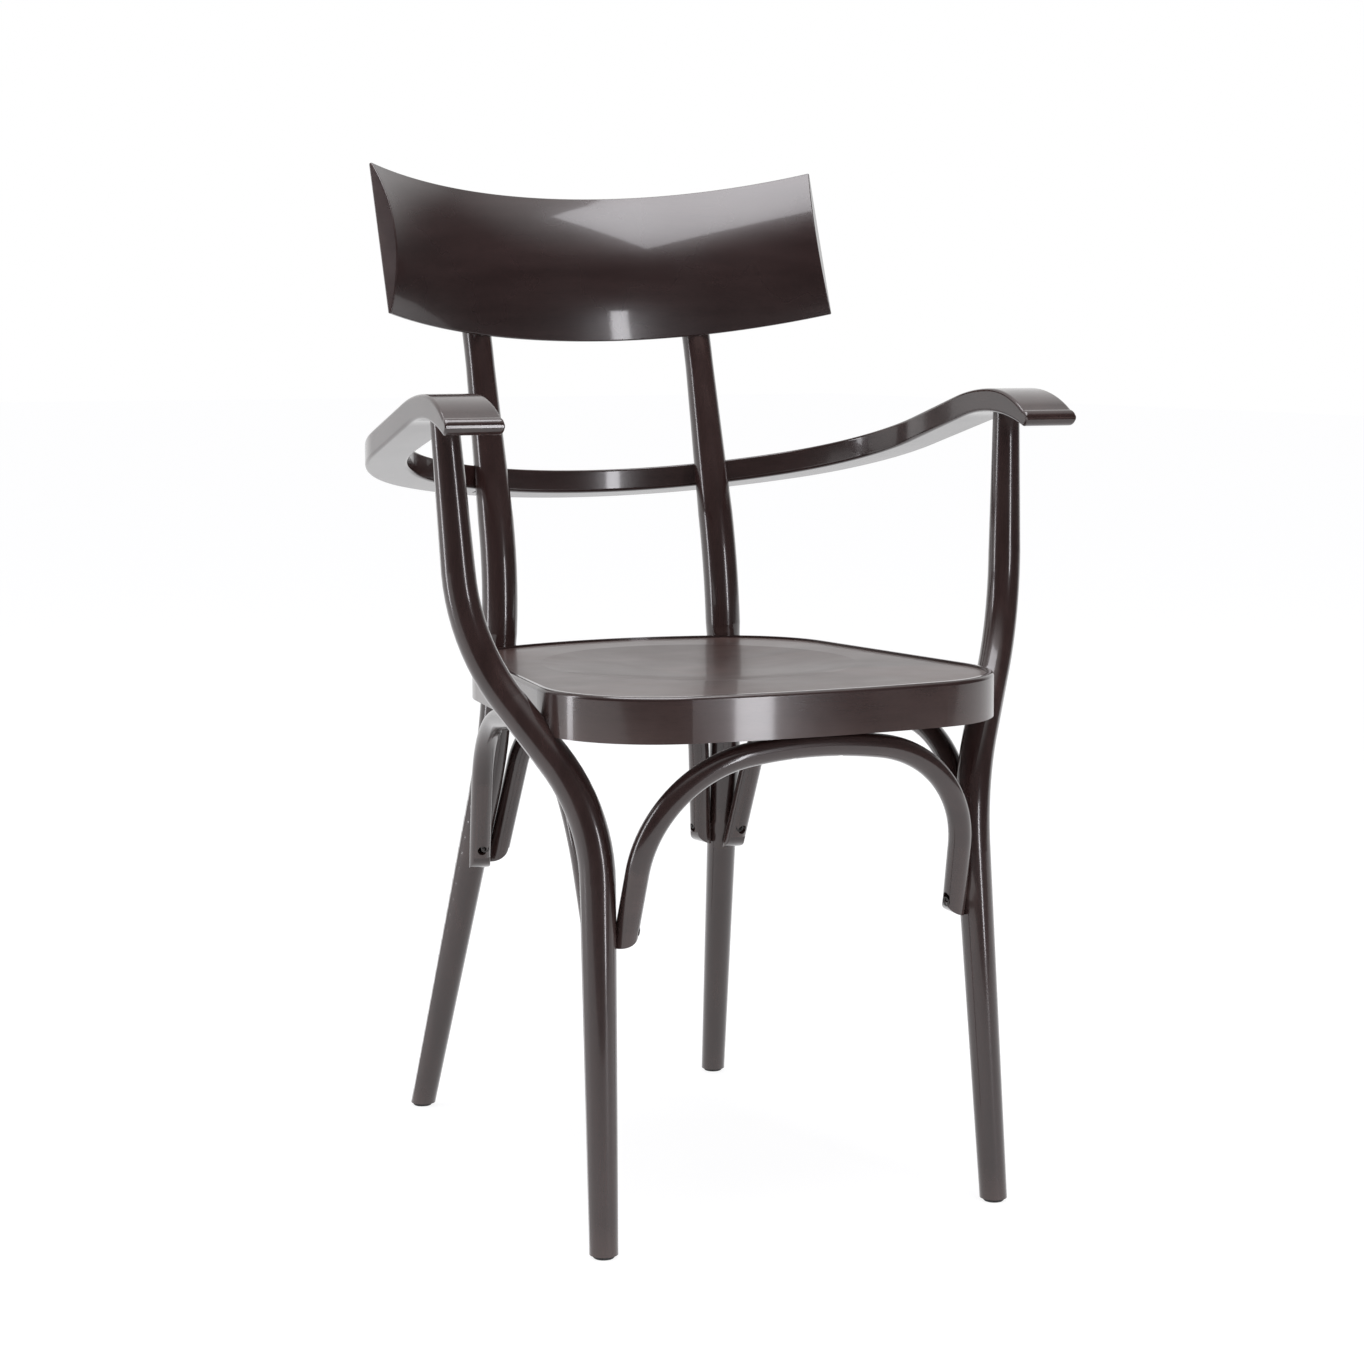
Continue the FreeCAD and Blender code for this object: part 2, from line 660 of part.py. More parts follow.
def arm_rail():
    """The rail before its holes are made: a flat band, cut to its plan and to its
    side view."""
    side = extrude("rail_side", rail_profile(), "2 * ( arm_outer_half_width + overrun )",
                   symmetric=True)
    outer = extrude("rail_outer", rail_outline("rail_outer_edge", "arm_outer_half_width",
                                               "arm_outer_taper", "arm_outer_corner",
                                               "arm_outer_bow", "arm_outer_back"),
                    "arm_height - seat_height + 200")
    inner = extrude("rail_inner", rail_outline("rail_inner_edge", "arm_inner_half_width",
                                               "arm_inner_taper", "arm_inner_corner",
                                               "arm_inner_bow", "arm_inner_back"),
                    "arm_height - seat_height + 200")
    return carve("rail_blank", common("rail_body", side, outer), inner)


def sharp_edges(item, least):
    """The numbers of the edges where two faces meet at an angle over the least."""
    found = []
    for number, edge in enumerate(item.Shape.Edges, start=1):
        faces = item.Shape.ancestorsOfType(edge, Part.Face)
        middle = edge.valueAt((edge.FirstParameter + edge.LastParameter) / 2)
        normals = [face.normalAt(*face.Surface.parameter(middle)) for face in faces]
        if len(normals) == 2 and normals[0].getAngle(normals[1]) > math.radians(least):
            found.append(number)
    return found


# Backrest

def backrest():
    """A curved board, flat up its rear face and swelling in front, thin along its top
    and bottom edges, that leans back between the posts."""
    body = doc.addObject("PartDesign::Body", "backrest_body")
    sketch = body.newObject("Sketcher::SketchObject", "backrest_section")
    attach(sketch, body, "YZ_Plane")
    radius, height = size("backrest_radius"), size("backrest_height")
    edge, thick = size("backrest_edge"), size("backrest_thickness")
    foot = Vector(radius - edge, 0, 0)
    crown = Vector(radius - edge, height, 0)
    belly = Vector(radius - thick, height / 2, 0)
    rear = sketch.addGeometry(Part.LineSegment(Vector(radius, 0, 0),
                                               Vector(radius, height, 0)), False)
    top = sketch.addGeometry(Part.LineSegment(Vector(radius, height, 0), crown), False)
    front = sketch.addGeometry(Part.Arc(crown, belly, foot), False)
    low = sketch.addGeometry(Part.LineSegment(foot, Vector(radius, 0, 0)), False)
    sketch.addConstraint(Sketcher.Constraint("Coincident", rear, 2, top, 1))
    sketch.addConstraint(Sketcher.Constraint("Coincident", top, 2, front, 1))
    sketch.addConstraint(Sketcher.Constraint("Coincident", front, 2, low, 1))
    sketch.addConstraint(Sketcher.Constraint("Coincident", low, 2, rear, 1))
    sketch.addConstraint(Sketcher.Constraint("Vertical", rear))
    sketch.addConstraint(Sketcher.Constraint("Horizontal", top))
    sketch.addConstraint(Sketcher.Constraint("Horizontal", low))
    sketch.addConstraint(Sketcher.Constraint("PointOnObject", rear, 1, -1))
    dimension(sketch, "DistanceX", -1, 1, rear, 1, radius, text="backrest_radius")
    dimension(sketch, "DistanceY", rear, 1, rear, 2, height, text="backrest_height")
    dimension(sketch, "DistanceX", top, 2, top, 1, edge, text="backrest_edge")
    dimension(sketch, "DistanceX", low, 1, low, 2, edge, text="backrest_edge")
    swell = thick - edge
    dimension(sketch, "Radius", front, (swell ** 2 + height ** 2 / 4) / (2 * swell),
              text="( ( backrest_thickness - backrest_edge ) ^ 2 + backrest_height ^ 2 / 4 )"
                   " / ( 2 * ( backrest_thickness - backrest_edge ) )")
    board = body.newObject("PartDesign::Revolution", "backrest_bend")
    board.Profile = sketch
    board.ReferenceAxis = (sketch, ["V_Axis"])
    board.Midplane = True
    bind(board, Angle="backrest_angle")
    doc.recompute()
    eased = body.newObject("PartDesign::Fillet", "backrest_edges")
    eased.Base = (board, ["Edge%d" % number for number in sharp_edges(board, 35)])
    bind(eased, Radius="backrest_edge_radius")
    body.Placement = backrest_place()
    return body


def backrest_place():
    """The lean of the backrest about its lower rear edge, seen in the middle."""
    tilt = size("backrest_tilt")
    out = size("backrest_radius")
    return Placement(Vector(0, size("backrest_bottom_y") - out * math.cos(math.radians(tilt)),
                            size("backrest_bottom_height") + out * math.sin(math.radians(tilt))),
                     Rotation(Vector(1, 0, 0), -tilt))


def attach(sketch, body, role):
    """Lay a sketch on one of the body's own origin planes."""
    plane = [item for item in body.Origin.OriginFeatures if item.Role == role][0]
    sketch.AttachmentSupport = [(plane, "")]
    sketch.MapMode = "FlatFace"


# Braces

WIDE_BENDS = ["brace_corner_radius", "brace_crown_radius", "brace_corner_radius"]
BACK_BRACE_BENDS = ["back_brace_corner_radius", "back_brace_crown_radius",
                    "back_brace_corner_radius"]
BRACE_BENDS = {"front_brace": WIDE_BENDS, "back_brace": BACK_BRACE_BENDS,
               "left_brace": WIDE_BENDS}
SETTLING_ROUNDS = 4


def brace_end(leg, height, turn, reach):
    """Where a brace's straight end stands beside a leg: the point of its own axis at
    the height of its tip, reached from the leg's axis in a direction seen from above."""
    side = math.radians(turn)
    return between(leg[0], leg[1], size(height)) \
        + Vector(math.cos(side), math.sin(side), 0) * size(reach)


def crown_height():
    """Height of the axis of a brace at its crown, which is let into the ring."""
    return size("seat_height") - size("ring_height") - size("brace_diameter") / 2 \
        + size("brace_bed")


def climb(aside, along_chair):
    """How far a brace's end moves to the left and back for each millimetre it rises,
    from the angles of its lean."""
    return Vector(math.tan(math.radians(aside)), math.tan(math.radians(along_chair)), 1)


def arch(name, tips, climbs):
    """The corner points of a brace, tip to tip: each end leans its own way as it rises
    to its shoulder, and the shoulders slope up to the crown."""
    slope = math.tan(math.radians(size("brace_slope")))
    peak = crown_height() + size(BRACE_BENDS[name][1]) * (math.sqrt(1 + slope ** 2) - 1)
    corners = tips
    for _ in range(SETTLING_ROUNDS):
        shoulder = peak - slope * (corners[1] - corners[0]).Length / 2
        corners = [tip + way * (shoulder - tip.z) for tip, way in zip(tips, climbs)]
    middle = (corners[0] + corners[1]) / 2
    middle.z = peak
    return [tips[0], corners[0], middle, corners[1], tips[1]]


def brace_paths(front_leg, back_leg):
    """The corner points of the front, back and left brace, tip to tip."""
    front = brace_end(front_leg, "brace_tip_height", 180 - size("front_brace_turn"),
                      "front_brace_reach")
    back = brace_end(back_leg, "brace_tip_height", 180 + size("back_brace_turn"),
                     "back_brace_reach")
    near = brace_end(front_leg, "brace_tip_height", 90 + size("side_brace_front_turn"),
                     "front_brace_reach")
    far = brace_end(back_leg, "side_brace_back_height", 270 - size("side_brace_back_turn"),
                    "back_brace_reach")
    front_climb = climb(-size("front_brace_lean"), -size("front_brace_tilt"))
    back_climb = climb(-size("back_brace_lean"), -size("back_brace_tilt"))
    near_climb = climb(size("side_brace_front_spread"), size("side_brace_lean"))
    far_climb = climb(size("side_brace_back_spread"), -size("side_brace_rake"))
    return {
        "front_brace": arch("front_brace", [front, across(front)],
                            [front_climb, across(front_climb)]),
        "back_brace": arch("back_brace", [back, across(back)],
                           [back_climb, across(back_climb)]),
        "left_brace": arch("left_brace", [near, far], [near_climb, far_climb]),
    }


def across(point):
    """The same point on the other side of the chair."""
    return Vector(-point.x, point.y, point.z)


def brace(name, points, legs, ring_blank):
    """A round rod bent to an arch: its crown is let into the ring, its ends lie
    against the legs, and each tip is rounded off towards its leg."""
    rod = bent_rod(name + "_rod", points, BRACE_BENDS[name],
                   ["brace_diameter / 2"] * len(points))
    tips = []
    for number, (tip, leg) in enumerate(zip((points[0], points[-1]), legs), start=1):
        tips.append(tip_cutter("%s_tip_%d" % (name, number), tip, leg, leg["reach"]))
    solids = [leg["solid"] for leg in legs]
    return carve(name + "_shape", rod, ring_blank, *solids, *tips)


def tip_cutter(name, tip, leg, reach):
    """What is taken off a brace's tip: a block with a quarter of an oval left out, so
    that the tip curves down and in to the leg."""
    axis = between(leg["points"][0], leg["points"][1], tip.z)
    out = (tip - axis).normalize()
    oval = doc.addObject("Part::Ellipse", name + "_oval")
    bind(oval, MajorRadius="%s + brace_diameter / 2 - tip_root" % reach,
         MinorRadius="tip_round")
    drum = doc.addObject("Part::Extrusion", name + "_drum")
    drum.Base = oval
    drum.DirMode = "Custom"
    drum.Dir = Vector(0, 0, 1)
    drum.Solid = True
    drum.Symmetric = True
    bind(drum, LengthFwd="4 * brace_diameter")
    block = doc.addObject("Part::Box", name + "_block")
    bind(block, Length="3 * brace_diameter", Width="3 * tip_round", Height="2 * brace_diameter")
    bind(block, **{"Placement.Base.y": "- 3 * tip_round", "Placement.Base.z": "- brace_diameter"})
    cutter = carve(name, block, drum)
    base = axis + out * size("tip_root") + Vector(0, 0, size("tip_round"))
    cutter.Placement = Placement(base, Rotation(out, Vector(0, 0, 1), out.cross(Vector(0, 0, 1)),
                                                "XYZ"))
    return cutter


# Screws and glides

def fastener(name, place, length, hole=False):
    """A countersunk wood screw whose head's outer face lies at the placement and
    which points along its Z axis, or the slightly wider hole that it sits in."""
    grow = " + screw_clearance" if hole else ""
    head = doc.addObject("Part::Cone", name + "_head")
    bind(head, Radius1="screw_head_diameter / 2" + grow, Radius2="screw_diameter / 2" + grow,
         Height="screw_head_height")
    shank = doc.addObject("Part::Cylinder", name + "_shank")
    bind(shank, Radius="screw_diameter / 2" + grow, Height=length + grow)
    pieces = [head, shank]
    if hole:
        mouth = doc.addObject("Part::Cylinder", name + "_mouth")
        bind(mouth, Radius="screw_head_diameter / 2" + grow, Height="overrun")
        bind(mouth, **{"Placement.Base.z": "- overrun"})
        pieces.append(mouth)
    solid = unite(name, *pieces)
    solid.Placement = place
    return solid


def glide(name, foot):
    """A round glide with a pin that is driven up into the foot."""
    body = doc.addObject("PartDesign::Body", name)
    sketch = body.newObject("Sketcher::SketchObject", name + "_section")
    attach(sketch, body, "XZ_Plane")
    radius, height = size("glide_diameter") / 2, size("glide_height")
    pin, length = size("glide_pin_diameter") / 2, size("glide_pin_length")
    ease = size("glide_edge")
    corners = [Vector(0, 0, 0), Vector(radius - ease, 0, 0), Vector(radius, ease, 0),
               Vector(radius, height, 0), Vector(pin, height, 0),
               Vector(pin, height + length, 0), Vector(0, height + length, 0)]
    lines = [sketch.addGeometry(Part.LineSegment(here, there), False)
             for here, there in zip(corners, corners[1:] + corners[:1])]
    for here, there in zip(lines, lines[1:] + lines[:1]):
        sketch.addConstraint(Sketcher.Constraint("Coincident", here, 2, there, 1))
    for line in (lines[0], lines[3], lines[5]):
        sketch.addConstraint(Sketcher.Constraint("Horizontal", line))
    for line in (lines[2], lines[4], lines[6]):
        sketch.addConstraint(Sketcher.Constraint("Vertical", line))
    sketch.addConstraint(Sketcher.Constraint("Coincident", lines[0], 1, -1, 1))
    dimension(sketch, "DistanceX", -1, 1, lines[2], 1, radius, text="glide_diameter / 2")
    dimension(sketch, "DistanceX", -1, 1, lines[0], 2, radius - ease,
              text="glide_diameter / 2 - glide_edge")
    dimension(sketch, "DistanceY", -1, 1, lines[2], 1, ease, text="glide_edge")
    dimension(sketch, "DistanceY", -1, 1, lines[2], 2, height, text="glide_height")
    dimension(sketch, "DistanceX", -1, 1, lines[4], 1, pin, text="glide_pin_diameter / 2")
    dimension(sketch, "DistanceY", lines[4], 1, lines[4], 2, length, text="glide_pin_length")
    turned = body.newObject("PartDesign::Revolution", name + "_turned")
    turned.Profile = sketch
    turned.ReferenceAxis = (sketch, ["V_Axis"])
    turned.Angle = 360
    body.Placement = Placement(Vector(foot.x, foot.y, 0), Rotation())
    return body


def glide_hole(name, foot):
    """The bore that a glide's pin sits in."""
    bore = doc.addObject("Part::Cylinder", name)
    bind(bore, Radius="glide_pin_diameter / 2 + screw_clearance",
         Height="glide_height + glide_pin_length + screw_clearance")
    bore.Placement = Placement(Vector(foot.x, foot.y, 0), Rotation())
    return bore


# The whole chair

def group(name, *pieces):
    """Separate solids that are kept together."""
    bundle = doc.addObject("Part::Compound", name)
    bundle.Links = list(pieces)
    return bundle


def inward(point, axis):
    """The level direction from a point towards an axis point."""
    aim = Vector(axis.x - point.x, axis.y - point.y, 0)
    return aim.normalize()


def fixings(front_leg, back_leg, paths):
    """Every screw of the left half: its group, the outer face of its head, the way it
    points, its length and the pieces that it goes through."""
    sunk = size("screw_sink")
    round_off = size("brace_diameter") / 2 - sunk
    top = crown_height()
    found = []
    for name, path, legs in (("front_brace", paths["front_brace"][:2], ["front_leg"]),
                             ("back_brace", paths["back_brace"][:2], ["back_leg"]),
                             ("left_brace", paths["left_brace"][:2], ["front_leg"]),
                             ("left_brace", paths["left_brace"][:2:-1], ["back_leg"])):
        leg = front_leg if legs == ["front_leg"] else back_leg
        height = size("brace_tip_height") + size("end_screw_rise")
        brace_axis = between(path[0], path[1], height)
        aim = inward(brace_axis, between(leg[0], leg[1], height))
        found.append(("brace_end_screws", brace_axis - aim * round_off, aim,
                      "end_screw_length", [name] + legs))
    spots = []
    for name, path in paths.items():
        middle = path[2]
        way = (path[-1] - path[0]).normalize() * size("crown_screw_offset")
        spots.append((name, middle + way))
        if name == "left_brace":
            spots.append((name, middle - way))
    for name, spot in spots:
        up = Vector(0, 0, 1)
        spot.z = top
        found.append(("brace_crown_screws", spot - up * round_off, up, "crown_screw_length",
                      [name, "seat_ring"]))
    return found


def joint_screws(front_leg, back_leg):
    """The screws of the left half that hold the legs to the ring, the arm rail to the
    back post and the backrest to the back post."""
    sunk = size("screw_sink")
    found = []
    height = size("seat_height") - size("ring_height") + size("ring_screw_rise")
    # The front leg is reached square to the ring's straight side.
    wide, narrow = size("seat_half_width_front"), size("seat_half_width_rear")
    length = size("side_length")
    axis = axis_crossing(bent_wire(front_leg, FRONT_BENDS), height)
    taper = math.atan2(wide - narrow, length)
    aim = Vector(math.cos(taper), math.sin(taper), 0)
    side_point = Vector(wide, size("side_start"), 0)
    start = axis - aim * ((axis - side_point).dot(aim) + size("ring_width") - sunk)
    found.append(("ring_screws", start, aim, "ring_screw_length", ["front_leg", "seat_ring"]))
    # The back post is reached square to the ring's bowed back.
    axis = axis_crossing(bent_wire(back_leg, BACK_BENDS), height)
    middle = Vector(0, size("seat_rear") - size("rear_bow_radius"), height)
    aim = (axis - middle).normalize()
    start = middle + aim * (size("rear_bow_radius") - size("ring_width") + sunk)
    found.append(("ring_screws", start, aim, "ring_screw_length", ["back_leg", "seat_ring"]))
    # The arm rail is screwed to the back post from behind.
    bow = size("arm_outer_bow")
    middle = Vector(0, size("arm_outer_back") - bow, 0)
    height = size("arm_height") + size("arm_thickness") / 2 \
        - (size("arm_inner_back") + size("arm_outer_back")) / 2 \
        * math.tan(math.radians(size("arm_slope"))) + size("arm_screw_rise")
    axis = axis_crossing(bent_wire(back_leg, BACK_BENDS), height)
    middle.z = height
    aim = (middle - axis).normalize()
    start = middle - aim * (bow - sunk)
    found.append(("arm_rail_screws", start, aim, "arm_screw_length", ["back_leg", "arm_rail"]))
    # The backrest is screwed to the back post from behind, low and high.
    tilt = math.radians(size("backrest_tilt"))
    swing = math.asin(size("back_bend_x") / size("backrest_radius"))
    out = Vector(math.sin(swing), math.cos(swing) * math.cos(tilt),
                 -math.cos(swing) * math.sin(tilt))
    neck, top = back_leg[-2], back_leg[-1]
    radius = (size("back_neck_diameter") + size("back_top_diameter")) / 4
    for share in (size("backrest_screw_low"), size("backrest_screw_high")):
        reach = share * size("backrest_height")
        axis = neck + (top - neck).normalize() * reach
        found.append(("backrest_screws", axis + out * (radius - sunk), out * -1,
                      "backrest_screw_length", ["back_leg", "backrest_panel"]))
    return found


def axis_crossing(wire, height):
    """Where a bent line crosses a height."""
    level = Part.makePlane(2000, 2000, Vector(-1000, -1000, height))
    return wire.section(level).Vertexes[0].Point


ring_blank, ring, panel = seat_parts()
rail_blank = arm_rail()
backrest_board = backrest()
front_points = front_leg_points()
back_points = back_leg_points()
floor = doc.addObject("Part::Box", "floor")
bind(floor, Length="4 * seat_front", Width="4 * seat_front", Height="glide_height + 50")
bind(floor, **{"Placement.Base.x": "- 2 * seat_front", "Placement.Base.y": "- 2 * seat_front",
               "Placement.Base.z": "- 50"})
front_rod = front_leg_rod()
back_rod = back_leg_rod()
left_front = front_leg(front_rod, floor, ring_blank, rail_blank)
left_back = back_leg(back_rod, floor, ring_blank, rail_blank, backrest_board)

paths = brace_paths(front_points, back_points)
front_stand = {"points": front_points, "solid": front_rod, "reach": "front_brace_reach"}
back_stand = {"points": back_points, "solid": back_rod, "reach": "back_brace_reach"}


def far_stand(name, stand):
    """The same leg on the other side of the chair."""
    return {"points": [across(point) for point in stand["points"]],
            "solid": mirror(name, stand["solid"]), "reach": stand["reach"]}


legs = {
    "front_brace": [front_stand, far_stand("far_front_rod", front_stand)],
    "back_brace": [back_stand, far_stand("far_back_rod", back_stand)],
    "left_brace": [front_stand, back_stand],
}
braces = {name: brace(name, paths[name], legs[name], ring_blank) for name in paths}

# Screws of the left half and the holes they sit in, gathered by the piece they pass.
holes = {}
screws = {}
for number, (kind, start, aim, length, passed) in enumerate(
        fixings(front_points, back_points, paths) + joint_screws(front_points, back_points),
        start=1):
    place = along(start, aim)
    screws.setdefault(kind, []).append(fastener("screw_%d" % number, place, length))
    bore = fastener("bore_%d" % number, place, length, hole=True)
    for piece in passed:
        holes.setdefault(piece, []).append(bore)

holes["front_leg"].append(glide_hole("front_glide_bore", front_points[0]))
holes["back_leg"].append(glide_hole("back_glide_bore", back_points[0]))

nodes = {}


def node(name, item):
    """Name a finished piece."""
    item.Label = name
    nodes[name] = item


def bored(name, base, piece, both_sides):
    """A piece with its screw holes, on one side or on both sides of the chair."""
    bores = group(name + "_bores", *holes[piece])
    if both_sides:
        bores = group(name + "_all_bores", bores, mirror(name + "_far_bores", bores))
    return carve(name, base, bores)


socket = doc.addObject("Part::Cylinder", "arm_socket")
socket.Placement = tenon_place()
bind(socket, Radius="tenon_diameter / 2 + screw_clearance",
     Height="tenon_root + tenon_length + screw_clearance")
socketed = carve("rail_socketed", rail_blank, socket, mirror("far_socket", socket))

node("seat_ring", bored("ring_bored", ring, "seat_ring", True))
node("seat_panel", panel)
node("arm_rail", bored("rail_bored", socketed, "arm_rail", True))
node("backrest_panel", bored("backrest_bored", backrest_board, "backrest_panel", True))
node("left_front_leg", bored("front_leg_bored", left_front, "front_leg", False))
node("left_back_post", bored("back_post_bored", left_back, "back_leg", False))
node("right_front_leg", mirror("right_front_leg_bored", nodes["left_front_leg"]))
node("right_back_post", mirror("right_back_post_bored", nodes["left_back_post"]))
node("front_brace", bored("front_brace_bored", braces["front_brace"], "front_brace", True))
node("back_brace", bored("back_brace_bored", braces["back_brace"], "back_brace", True))
node("left_brace", bored("left_brace_bored", braces["left_brace"], "left_brace", False))
node("right_brace", mirror("right_brace_bored", nodes["left_brace"]))
for kind, items in screws.items():
    near = group(kind + "_near", *items)
    node(kind, group(kind + "_all", near, mirror(kind + "_far", near)))
for side, sign in (("left", 1), ("right", -1)):
    for place, foot in (("front", front_points[0]), ("back", back_points[0])):
        name = "%s_%s_glide" % (side, place)
        node(name, glide(name, Vector(sign * foot.x, foot.y, 0)))

doc.recompute()

faults = ["%s: %s" % (item.Name, item.State) for item in doc.Objects
          if "Invalid" in item.State or "Error" in item.State]
faults += ["%s has no valid shape" % name for name, item in nodes.items()
           if item.Shape.isNull() or not item.Shape.isValid() or not item.Shape.Solids]
if faults:
    raise SystemExit("\n".join(faults))

os.makedirs("parts", exist_ok=True)
for name, item in nodes.items():
    item.Shape.exportStep("parts/%s.step" % name)
    box = item.Shape.BoundBox
    print("%-20s %2d solid(s), volume %.0f, box %.1f %.1f %.1f to %.1f %.1f %.1f" % (
        name, len(item.Shape.Solids), item.Shape.Volume, box.XMin, box.YMin, box.ZMin,
        box.XMax, box.YMax, box.ZMax))
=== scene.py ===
import math

import bmesh
import bpy
from mathutils import Matrix, Vector


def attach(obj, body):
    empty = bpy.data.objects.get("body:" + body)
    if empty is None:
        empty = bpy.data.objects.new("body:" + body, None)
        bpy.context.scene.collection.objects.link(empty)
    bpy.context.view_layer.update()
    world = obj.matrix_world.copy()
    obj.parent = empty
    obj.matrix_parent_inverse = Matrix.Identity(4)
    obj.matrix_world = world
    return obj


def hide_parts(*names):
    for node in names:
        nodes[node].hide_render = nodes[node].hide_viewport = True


# Looks of the bentwood armchair. Metres, +Z up, the front of the chair faces -Y, and
# the sitter's left hand is on the +X side.

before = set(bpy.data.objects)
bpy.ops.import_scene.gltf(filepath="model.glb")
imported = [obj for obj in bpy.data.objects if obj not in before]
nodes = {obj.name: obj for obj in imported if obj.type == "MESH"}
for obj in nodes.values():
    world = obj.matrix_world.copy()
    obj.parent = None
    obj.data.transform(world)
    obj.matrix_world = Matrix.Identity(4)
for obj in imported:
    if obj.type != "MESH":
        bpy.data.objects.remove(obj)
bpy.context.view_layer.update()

# Camera, found from the photograph's vanishing points and the chair's feet
CAMERA_PLACE = Vector((-1.0975, -2.3395, 0.7531))
CAMERA_HEADING = math.radians(-25.11)
CAMERA_PITCH = math.radians(6.971)
CAMERA_LENS = 76.28

# Colours, linear
STAIN_DARK = (0.0200, 0.0085, 0.0075, 1)
STAIN_LIGHT = (0.0380, 0.0195, 0.0175, 1)
STAIN_WORN = (0.0780, 0.0480, 0.0420, 1)
SEAT_DARK = (0.0300, 0.0165, 0.0140, 1)
SEAT_LIGHT = (0.0560, 0.0340, 0.0300, 1)
BACK_DARK = (0.0180, 0.0075, 0.0070, 1)
BACK_LIGHT = (0.0300, 0.0150, 0.0140, 1)
STEEL_BLACK = (0.0300, 0.0280, 0.0270, 1)
STEEL_GREY = (0.0900, 0.0860, 0.0840, 1)
NYLON_BLACK = (0.0080, 0.0080, 0.0085, 1)
NYLON_GREY = (0.0220, 0.0215, 0.0220, 1)
BLACK = (0, 0, 0, 1)
WHITE = (1, 1, 1, 1)

# Lacquered wood: scales of its patterns, depths of its relief in metres
GRAIN_STRETCH = 0.06
BEND_REACH = 0.25
FIGURE_SCALE = 55
PORE_SCALE = 900
FILM_SCALE = 14
PORE_COLOUR = (0.45, 0.45, 0.45, 1)
PORE_SHARE = 0.55
WORN_EDGE = (0.515, 0.60)
LACQUER_IOR = 1.5
COAT_ROUGHNESS = 0.07
FILM_WAVE = 0.0006
PORE_DENT = 0.00004

# Studio. The floor shows the camera a glow mixed with its own lit surface. Gloss meets a
# dim room where its direction along an axis is below the first edge, and white above the
# second
FLOOR_COLOUR = (0.90, 0.90, 0.90, 1)
FLOOR_SHARE = 0.75
FLOOR_GLOW = 1.18
FLOOR_ROUGHNESS = 0.9
FLOOR_SIZE = 30
FLOOR_FRONT = -2.2
SKY_COLOUR = (0.62, 0.62, 0.66, 1)
SKY_STRENGTH = 0.75
ROOM_DIM = 0.10
ROOM_EDGES = (("Y", 0.10, 0.50), ("Z", 0.60, 0.90))
LIGHT_COLOUR = (0.97, 0.96, 1.0)
LIGHT_AIM = Vector((0, 0, 0.5))
SOFT_BOXES = (
    ("key_strip", (0.73, -2.6, 0.62), (0.24, 1.15), 13),
    ("top_box", (-0.2, -0.3, 2.9), (2.2, 1.6), 60),
    ("side_strip", (-2.6, 0.75, 1.0), (0.35, 2.0), 18),
)

# Arm rail, the same sizes as in the CAD model
ARM_THICKNESS = 0.021
ARM_SLOPE = math.radians(15.1)
ARM_HEIGHT = 0.6545
ARM_CREST_Y = -0.1216
ARM_PALM_Y = -0.118
ARM_TOP_RADIUS = 0.240
ARM_UNDER_RADIUS = 0.180
ARM_NOSE_RADIUS = 0.095
ARM_PALM_RADIUS = 0.160
ARM_TIP_Y = -0.177
ARM_INNER = {"half_width": 0.243, "taper": 0.0, "corner": 0.170, "bow": 0.290, "back": 0.212}
ARM_OUTER = {"half_width": 0.294, "taper": 3.96, "corner": 0.180, "bow": 0.350, "back": 0.237}
ARM_EDGE_RADIUS = 0.0032
ARM_EDGE_STEPS = 5
ARM_NOSE_STATIONS = 14
ARM_STRAIGHT_STATIONS = 34
ARM_BENT_STATIONS = 70

# Screws with a cross recess, the same heads and shanks as in the CAD model
HEAD_RADIUS = 0.00425
HEAD_DEPTH = 0.0032
HEAD_SEGMENTS = 64
HEAD_RINGS = 18
SHANK_RADIUS = 0.00225
TIP_LENGTH = 0.004
TIP_SHARE = 0.15
RECESS_HALF_LENGTH = 0.0027
RECESS_HALF_WIDTH = 0.00055
RECESS_WALL = 0.0002
RECESS_DEPTH = 0.0015
SCREW_CREASE = math.radians(35)
END_BAND = 0.0002


# Materials

